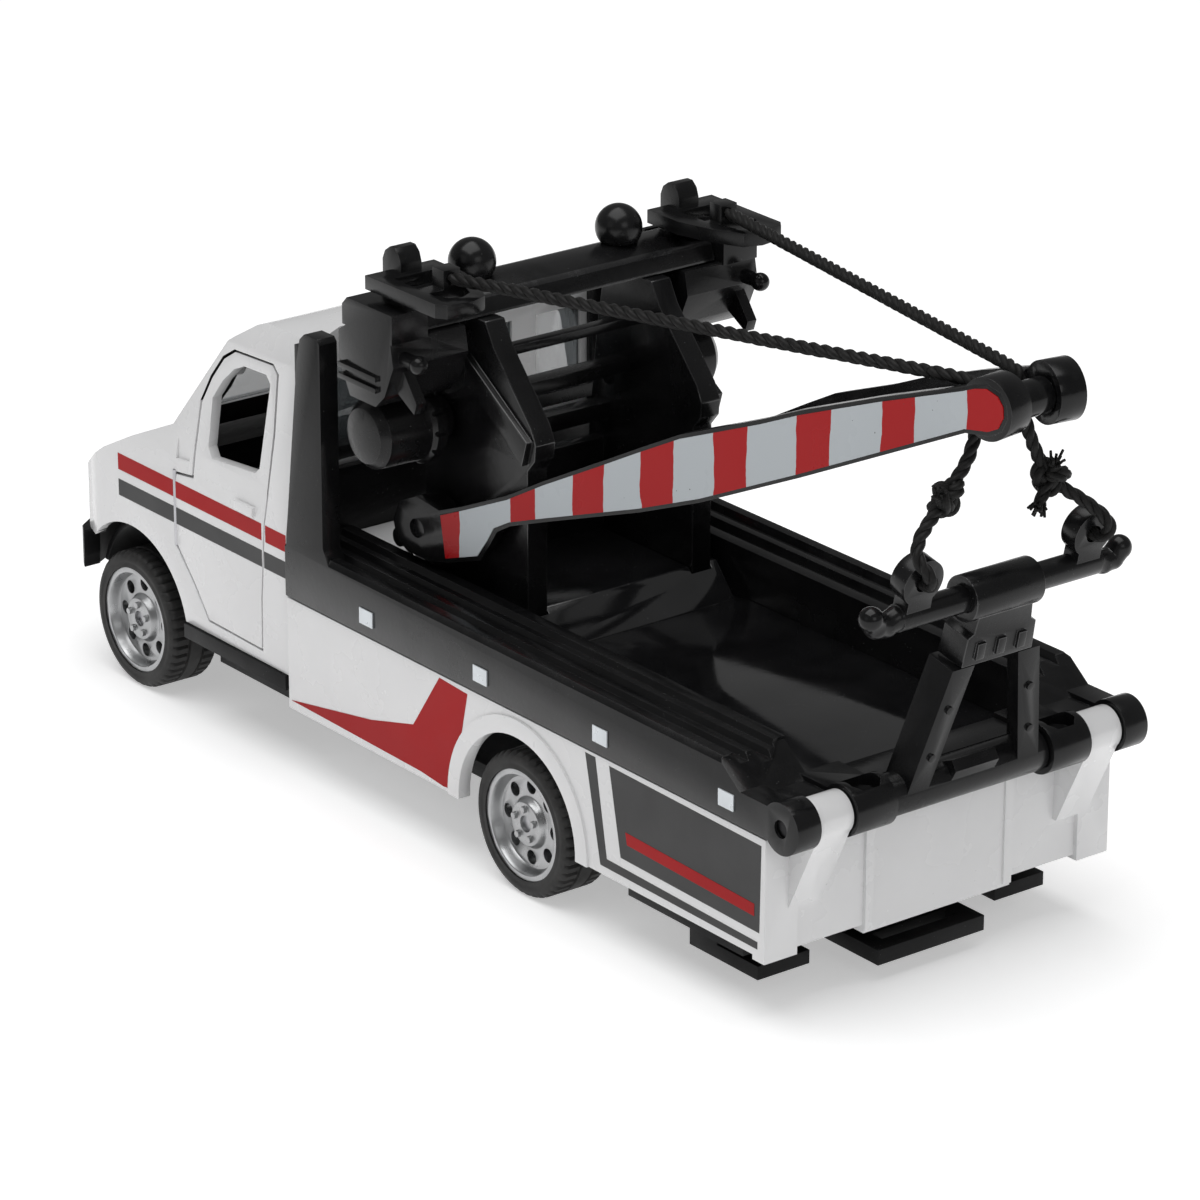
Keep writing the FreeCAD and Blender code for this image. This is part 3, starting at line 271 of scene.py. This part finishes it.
RED = (0.4, 0.004, 0.006)
LABEL_GREY = (0.5, 0.535, 0.56)
LABEL_RANGE = (-10.0, 90.0)
LABEL_BANDS = (
    (-9.0, -3.9), (4.6, 8.7), (14.9, 19.7), (25.9, 30.8), (37.0, 42.0),
    (49.4, 54.6), (62.0, 66.8), (74.0, 82.0))


def striped_label():
    """The boom's label: red bands on pale grey, with scuffs along the print."""
    n = Nodes("striped_label")
    n.set(Coat_Weight=0.08, Coat_Roughness=0.16, IOR=1.48, Specular_IOR_Level=0.15)
    low, high = LABEL_RANGE
    wobble = n.spread(n.noise(210.0, 3.0), -0.2 * MM, 0.2 * MM)
    along = n.math("ADD", n.axis("Y"), wobble)
    place = n.spread(along, 0.0, 1.0, (low * MM, high * MM))
    ramp = n.add("ShaderNodeValToRGB")
    ramp.color_ramp.interpolation = "CONSTANT"
    stops = ramp.color_ramp.elements
    stops[0].position, stops[0].color = 0.0, (*LABEL_GREY, 1.0)
    stops.remove(stops[1])
    for start, end in LABEL_BANDS:
        for y, colour in ((start, RED), (end, LABEL_GREY)):
            stop = stops.new((y - low) / (high - low))
            stop.color = (*colour, 1.0)
    n.join(place, ramp.inputs["Fac"])
    scuffs = n.spread(n.noise(700.0, 5.0, 0.75), 0.0, 1.0, (0.68, 0.76))
    base = n.mix(n.math("MULTIPLY", scuffs, 0.6), ramp.outputs["Color"], (0.03, 0.03, 0.03))
    base = n.mix(n.specks(900.0, 0.07), base, (0.05, 0.05, 0.05))
    n.join(base, n.shader.inputs["Base Color"])
    n.join(n.spread(n.noise(150.0), 0.22, 0.4), n.shader.inputs["Roughness"])
    n.bump(n.noise(650.0, 3.0), 0.015 * MM)
    return n.material


WHITE = (0.78, 0.78, 0.785)
M = {
    "white_paint": paint("white_paint", WHITE),
    "black_plastic": plastic(
        "black_plastic", (0.0035, 0.0035, 0.0038), (0.14, 0.32), 0.3, wear=(0.008, 0.008, 0.0085)),
    "black_matte": plastic("black_matte", (0.006, 0.006, 0.0063), (0.38, 0.6), 0.16),
    "bed_gloss": plastic("bed_gloss", (0.005, 0.005, 0.0055), (0.05, 0.16), 1.0, depth=0.005),
    "worn_edge": plastic(
        "worn_edge", (0.009, 0.009, 0.0095), (0.12, 0.26), 0.7, wear=(0.03, 0.03, 0.031)),
    "tyre": tyre_rubber(),
    "silver_rim": metal("silver_rim", (0.42, 0.425, 0.43), (0.24, 0.42)),
    "steel": metal("steel", (0.5, 0.5, 0.52), (0.22, 0.4)),
    "blackened_steel": metal("blackened_steel", (0.02, 0.02, 0.021), (0.3, 0.46)),
    "smoked_glass": glass("smoked_glass", (0.16, 0.18, 0.19), 0.04, 0.55),
    "lamp_clear": glass("lamp_clear", (0.8, 0.83, 0.86), 0.05, 0.6),
    "stripe_sticker": striped_label(),
    "reflector": metal("reflector", (0.72, 0.76, 0.79), (0.25, 0.45), metallic=0.35),
    "rope": cord_fibre(),
    "red_print": paint("red_print", RED, (0.3, 0.45), 0.85, 0.0, 0.12),
    "black_print": paint("black_print", (0.006, 0.006, 0.0065), (0.3, 0.45), 0.8, 0.0, 0.45),
}


# ---- mesh helpers ----------------------------------------------------------------------


SHARP = 38.0


def shade(bm, sharp):
    """Smooth shading, broken at edges that turn by more than an angle."""
    limit = math.radians(sharp)
    for face in bm.faces:
        face.smooth = True
    for edge in bm.edges:
        flat = len(edge.link_faces) == 2 and edge.calc_face_angle(0.0) < limit
        edge.smooth = flat


def finish_object(name, bm, body, materials, sharp=SHARP, replaces=()):
    shade(bm, sharp)
    mesh = bpy.data.meshes.new(name)
    bm.to_mesh(mesh)
    bm.free()
    obj = bpy.data.objects.new(name, mesh)
    bpy.context.scene.collection.objects.link(obj)
    for key in materials:
        mesh.materials.append(M[key])
    if body:
        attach(obj, body)
    if replaces:
        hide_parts(*replaces)
    return obj


CAB_MIDDLE = Vector((0, -50, 32)) * MM
CAB_INSIDE = (Vector((-24.4, -79.2, 0.0)) * MM, Vector((24.4, -29.8, 55.0)) * MM)


def paint_shade_inside(bm):
    """Gives the faces that look inwards from the cab's walls and roof the second material: black painted
    shade over the cab's white inner walls.
    """
    low, high = CAB_INSIDE
    bm.normal_update()
    for face in bm.faces:
        centre = face.calc_center_median()
        inside = all(a < c < b for a, c, b in zip(low, centre, high))
        if inside and face.normal.dot(CAB_MIDDLE - centre) > 0.0:
            face.material_index = 1


WELD = 1e-6
FLAT = math.radians(0.4)
CREASE = math.radians(30.0)


def refine(node, width, materials):
    """A CAD node's surface, made whole again, with its edges rounded so that they catch light.

    The faces of the rounded edges get the last material.
    """
    bm = bmesh.new()
    bm.from_mesh(NODES[node].data)
    bmesh.ops.remove_doubles(bm, verts=bm.verts, dist=WELD)
    bmesh.ops.dissolve_limit(bm, angle_limit=FLAT, verts=bm.verts, edges=bm.edges)
    if node == "cab_shell":
        # painted shade: the cab's inward faces turn black instead of white
        paint_shade_inside(bm)
    if width:
        edges = [
            e for e in bm.edges
            if len(e.link_faces) == 2 and e.calc_face_angle(0.0) > CREASE and e.calc_length() > WELD]
        bmesh.ops.bevel(
            bm, geom=edges, offset=width * MM, offset_type="OFFSET", segments=2,
            profile=0.55, affect="EDGES", clamp_overlap=True, material=len(materials) - 1)
    return finish_object(f"{node}_skin", bm, BODY[node], materials, replaces=[node])


def plate(name, outline, x, thick, side, body, material):
    """A thin printed shape on the truck's side: an outline of (Y, Z) in mm at a given X."""
    bm = bmesh.new()
    rings = []
    for height in (0.0, thick):
        across = side * (x + height) * MM
        rings.append([bm.verts.new((across, y * MM, z * MM)) for y, z in outline])
    count = len(outline)
    bm.faces.new(rings[0])
    bm.faces.new(list(reversed(rings[1])))
    for i in range(count):
        j = (i + 1) % count
        bm.faces.new((rings[0][j], rings[0][i], rings[1][i], rings[1][j]))
    bmesh.ops.recalc_face_normals(bm, faces=bm.faces)
    return finish_object(name, bm, body, [material])


# ---- ropes -----------------------------------------------------------------------------

ROPE = 1.6 * MM
LINE_STEP = 0.2 * MM
ROUTES = {
    "rope_upper_left": ("boom", [(20.7, -0.35, 70.5), (12.4, 34.2, 72.2), (4.4, 66.0, 74.0)]),
    "rope_upper_right": ("boom", [(-20.7, -0.35, 70.5), (-12.4, 34.2, 72.2), (-4.4, 66.0, 74.0)]),
    "rope_lower_left": ("hanging_ropes", [
        (4.38, 66.05, 74.0), (3.2, 70.8, 74.3), (3.2, 72.0, 73.7), (3.6, 72.9, 67.0), (8.6, 73.2, 62.0),
        (14.4, 74.8, 57.9), (13.5, 77.4, 55.4), (12.45, 76.24, 53.44), (12.45, 73.7, 54.0)]),
    "rope_lower_right": ("hanging_ropes", [
        (-4.38, 66.05, 74.0), (-3.2, 70.8, 74.3), (-3.2, 72.0, 73.7), (-3.5, 72.9, 67.6), (-7.0, 73.2, 60.8),
        (-10.9, 75.2, 58.1), (-12.9, 77.5, 55.6), (-12.45, 76.24, 53.44), (-12.45, 73.7, 54.0)]),
}


def spline_line(points):
    """The points of the smooth line that a route's points control."""
    curve = bpy.data.curves.new("line", "CURVE")
    curve.dimensions = "3D"
    curve.resolution_u = 40
    spline = curve.splines.new("NURBS")
    spline.points.add(len(points) - 1)
    for point, place in zip(spline.points, points):
        point.co = (*(c * MM for c in place), 1.0)
    spline.order_u = 3
    spline.use_endpoint_u = True
    obj = bpy.data.objects.new("line", curve)
    bpy.context.scene.collection.objects.link(obj)
    bpy.context.view_layer.update()
    mesh = bpy.data.meshes.new_from_object(obj)
    line = [v.co.copy() for v in mesh.vertices]
    bpy.data.objects.remove(obj)
    bpy.data.curves.remove(curve)
    bpy.data.meshes.remove(mesh)
    return line


def evenly(line):
    """The same line at equal distances, and its length."""
    places = np.array(line)
    runs = np.linalg.norm(np.diff(places, axis=0), axis=1)
    along = np.concatenate([[0.0], np.cumsum(runs)])
    marks = np.linspace(0.0, along[-1], max(2, int(along[-1] / LINE_STEP)))
    columns = [np.interp(marks, along, places[:, i]) for i in range(3)]
    return [Vector(p) for p in zip(*columns)], along[-1]


def frames_along(line):
    """At each point the line's direction and two directions across it, without twist."""
    across = None
    result = []
    for i, point in enumerate(line):
        ahead = (line[min(i + 1, len(line) - 1)] - line[max(i - 1, 0)]).normalized()
        if across is None:
            across = ahead.orthogonal().normalized()
        across = (across - ahead * across.dot(ahead)).normalized()
        result.append((point, across, ahead.cross(across)))
    return result


def add_tube(bm, centres, radius, sides=8):
    """A closed round tube along a line."""
    rings = []
    for point, u, v in frames_along(centres):
        ring = []
        for i in range(sides):
            turn = 2 * math.pi * i / sides
            ring.append(bm.verts.new(point + (u * math.cos(turn) + v * math.sin(turn)) * radius))
        rings.append(ring)
    for first, second in zip(rings, rings[1:]):
        for i in range(sides):
            j = (i + 1) % sides
            bm.faces.new((first[i], first[j], second[j], second[i]))
    bm.faces.new(list(reversed(rings[0])))
    bm.faces.new(rings[-1])


STRANDS = 3
STRAND_SHARE = 0.54
PITCH = 5.0 * MM


def twist(bm, line, diameter):
    """Laid rope: strands wound round a line, filling the given diameter."""
    thick = diameter * STRAND_SHARE / 2.0
    frames = frames_along(line)
    step = (line[1] - line[0]).length
    for k in range(STRANDS):
        centres = []
        for i, (point, u, v) in enumerate(frames):
            turn = 2 * math.pi * (k / STRANDS + i * step / PITCH)
            centres.append(point + (u * math.cos(turn) + v * math.sin(turn)) * (diameter / 2 - thick))
        add_tube(bm, centres, thick)


def frayed_tail(bm, start, direction, length, fibres):
    """A cut end of rope whose fibres spread, with its places in mm."""
    along = Vector(direction).normalized()
    end = start + along * length - Vector((0, 0, 0.35))
    line, _ = evenly(spline_line([tuple(p) for p in (start, start + along * length * 0.55, end)]))
    twist(bm, line, ROPE)
    across = along.orthogonal().normalized()
    other = along.cross(across)
    for k in range(fibres):
        turn = 2.4 * k
        wide = math.sqrt((k + 0.5) / fibres)
        side = (across * math.cos(turn) + other * math.sin(turn)) * wide
        reach = 0.8 + 0.35 * math.sin(3.0 * k)
        fibre = [
            end - along * 0.4 + side * 0.45, end + along * 0.3 + side * 0.85,
            end + along * reach + side * 1.2]
        add_tube(bm, [point * MM for point in fibre], 0.17 * MM, 5)


def tied_knot(name, centre, size, tilt, tails):
    """A pulled-tight overhand knot: the rope crosses itself in three lobes and leaves cut tails."""
    bm = bmesh.new()
    about_x, about_y = (Matrix.Rotation(math.radians(a), 3, axis) for a, axis in zip(tilt, "XY"))
    turn_to = about_x @ about_y
    middle = Vector(centre)
    lobes = []
    steps = 96
    for i in range(steps + 1):
        turn = 2 * math.pi * i / steps
        place = Vector((
            math.sin(turn) + 2 * math.sin(2 * turn), math.cos(turn) - 2 * math.cos(2 * turn),
            -1.25 * math.sin(3 * turn)))
        lobes.append((middle + turn_to @ place * size) * MM)
    line, _ = evenly(lobes)
    twist(bm, line, ROPE * 1.1)
    for direction, length, fibres in tails:
        frayed_tail(bm, middle, direction, length, fibres)
    return finish_object(name, bm, "hanging_ropes", ["rope"])


KNOTS = {
    "left": ((8.2, 73.3, 62.3), 0.62, (70, 25), [((0.7, 0.4, 0.6), 2.6, 8)]),
    "right": ((-6.8, 73.3, 61.4), 0.58, (60, -30), [
        ((0.85, 0.45, -0.75), 3.4, 22), ((0.1, 0.5, 0.9), 2.8, 10)]),
}

for rope_name, (rope_body, route) in ROUTES.items():
    rope_line, rope_length = evenly(spline_line(route))
    rope_mesh = bmesh.new()
    twist(rope_mesh, rope_line, ROPE)
    upper = "upper" in rope_name
    rope = finish_object(
        f"{rope_name}_twisted", rope_mesh, None, ["rope"], replaces=[rope_name])
    if upper:
        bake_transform(rope)
    else:
        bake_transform(rope)
        side_name = rope_name.rsplit("_", 1)[1]
        knot = tied_knot(f"rope_knot_{side_name}_wound", *KNOTS[side_name])
        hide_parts(f"rope_knot_{side_name}")


# ---- CAD nodes -------------------------------------------------------------------------

TYRE_BORE = 6.9 * MM
TYRE_SHARP = 34.0
GROOVE_DEPTH = 0.28 * MM
GROOVES = 44
GROOVE_STEPS = 4


def tyre(node):
    """A tyre turned from its section, with a sidewall ring and cross grooves in the tread.

    The section's rows are the place across (1 is the sidewall), the radius, and whether it is grooved.
    """
    low, high = (Vector(corner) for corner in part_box(node))
    outer = (high.z - low.z) / 2
    centre = (low + high) / 2
    half = (high.x - low.x) / 2
    depth = GROOVE_DEPTH
    section = [
        (-1.0, TYRE_BORE, 0), (-1.0, 7.3 * MM, 0), (-0.985, 7.5 * MM, 0), (-1.0, 7.7 * MM, 0),
        (-1.0, outer - 0.95 * MM, 0), (-0.95, outer - 0.45 * MM, 0), (-0.86, outer - 0.12 * MM, 1),
        (-0.78, outer, 1), (-0.36, outer, 1), (-0.33, outer - depth, 0), (-0.27, outer - depth, 0),
        (-0.24, outer, 0)]
    section += [(-x, radius, groove) for x, radius, groove in reversed(section)]
    count = GROOVES * GROOVE_STEPS
    bm = bmesh.new()
    rings = []
    for i in range(count):
        turn = 2 * math.pi * i / count
        ring = []
        for x, radius, groove in section:
            away = radius - (depth if groove and i % GROOVE_STEPS == 0 else 0.0)
            place = Vector((x * half, math.cos(turn) * away, math.sin(turn) * away))
            ring.append(bm.verts.new(centre + place))
        rings.append(ring)
    size = len(section)
    for i in range(count):
        first, second = rings[i], rings[(i + 1) % count]
        for j in range(size):
            k = (j + 1) % size
            bm.faces.new((first[j], first[k], second[k], second[j]))
    bmesh.ops.recalc_face_normals(bm, faces=bm.faces)
    return finish_object(f"{node}_tread", bm, BODY[node], ["tyre"], TYRE_SHARP, [node])


EDGE = 0.14
EDGES = {
    "cab_shell": 0.35, "door_left": 0.12, "door_right": 0.12, "rear_body": 0.25,
    "bed_frame": 0.22, "mast_crossbar": 0.6, "boom_sticker_left": 0.0, "boom_sticker_right": 0.0,
    "side_reflectors": 0.0, "windscreen": 0.0, "headlight_left": 0.0, "headlight_right": 0.0,
    "axle_front": 0.0, "axle_rear": 0.0, "hinge_pin": 0.0, "front_deck": 0.1, "door_pins": 0.0,
    "front_bumper": 0.4}
LOOKS = {
    # the cab's second material, black_matte, is painted shade on its inward faces
    "cab_shell": ["white_paint", "black_matte", "white_paint"],
    "bed_floor": ["bed_gloss", "worn_edge"], "floor_hump": ["bed_gloss", "worn_edge"],
    "hinge_pin": ["blackened_steel"]}

tyre_nodes = [node for node in NODES if node.startswith("tyre_")]
for node in tyre_nodes:
    tyre(node)

for node in sorted(NODES):
    if node in tyre_nodes or node in ROUTES or node.startswith("rope_knot_"):
        continue
    plain = [SLOT[node], "worn_edge"] if SLOT[node] == "black_plastic" else [SLOT[node]]
    refine(node, EDGES.get(node, EDGE), LOOKS.get(node, plain))


# ---- printed shapes --------------------------------------------------------------------

PRINT_X = 25.8
CAB_X = 25.5
INK = 0.03
STRIPES = (("red_print", 28.8, 31.0), ("black_print", 25.3, 27.5))


FLANK = (
    ("flash", "red_print", PRINT_X, [
        (-27.7, 9.7), (-10.7, 12.7), (-2.0, 15.0), (3.4, 22.8), (9.0, 22.5), (6.0, 9.2), (4.0, 9.0),
        (-0.5, 9.4)]),
    ("line", "black_print", PRINT_X, [
        (31.8, 22.8), (33.7, 22.8), (35.9, 10.8), (63.4, 10.4), (63.4, 9.5), (34.7, 9.7)]),
    ("panel", "black_print", PRINT_X, [(36.3, 22.6), (38.5, 11.9), (63.7, 11.6), (63.9, 22.3)]),
    ("panel_bar", "red_print", PRINT_X + INK, [
        (39.4, 15.4), (62.8, 14.9), (62.8, 13.4), (39.7, 13.9)]))

for side_name, side in SIDES:
    for part, ink, x, outline in FLANK:
        plate(f"flank_{part}_{side_name}", outline, x, INK, side, "chassis", ink)
    for ink, low, high in STRIPES:
        pillar_start = -33.45 if ink == "black_print" else -33.1
        for place, start, end, body in (
                ("fender", -66.0, -53.45, "chassis"), ("pillar", pillar_start, -28.7, "chassis"),
                ("door", -52.85, -33.95, f"door_{side_name}")):
            outline = [(start, low), (end, low), (end, high), (start, high)]
            plate(
                f"cab_{ink}_{place}_{side_name}", outline, CAB_X, INK, side, body, ink)


# ---- floor, light ----------------------------------------------------------------------


def floor_material():
    """White paper that glows a little, so that it renders as white as the photograph's."""
    n = Nodes("studio_floor")
    n.set(Roughness=0.9, Specular_IOR_Level=0.2)
    n.set(Emission_Color=(1.0, 1.0, 1.0, 1.0), Emission_Strength=0.42)
    base = n.mix(n.spread(n.noise(6.0), 0.0, 1.0), (0.9, 0.9, 0.9), (0.88, 0.88, 0.885))
    n.join(base, n.shader.inputs["Base Color"])
    return n.material


floor_mesh = bpy.data.meshes.new("studio_floor")
span = 6.0
corners = [(-span, -span, 0), (span, -span, 0), (span, span, 0), (-span, span, 0)]
floor_mesh.from_pydata(corners, [], [(0, 1, 2, 3)])
floor = bpy.data.objects.new("studio_floor", floor_mesh)
floor_mesh.materials.append(floor_material())
bpy.context.scene.collection.objects.link(floor)

world = bpy.data.worlds.new("studio")
bpy.context.scene.world = world
world.use_nodes = True
background = world.node_tree.nodes["Background"]
background.inputs["Color"].default_value = (1.0, 1.0, 1.0, 1.0)
background.inputs["Strength"].default_value = 0.2


def soft_light(name, place, target, size, power):
    """A rectangular area light aimed at a point, in metres."""
    light = bpy.data.lights.new(name, "AREA")
    light.shape = "RECTANGLE"
    light.size, light.size_y = size
    light.energy = power
    obj = bpy.data.objects.new(name, light)
    bpy.context.scene.collection.objects.link(obj)
    obj.location = place
    obj.rotation_euler = (Vector(target) - Vector(place)).to_track_quat("-Z", "Y").to_euler()


soft_light("top_light", (0.1, 0.0, 0.9), (0, 0, 0), (0.9, 0.9), 6.4)
soft_light("side_light", (0.9, 0.1, 0.45), (0, 0, 0.03), (0.5, 0.5), 0.2)
soft_light("rear_light", (0.1, 1.0, 0.5), (0, 0.02, 0.03), (0.5, 0.4), 0.8)
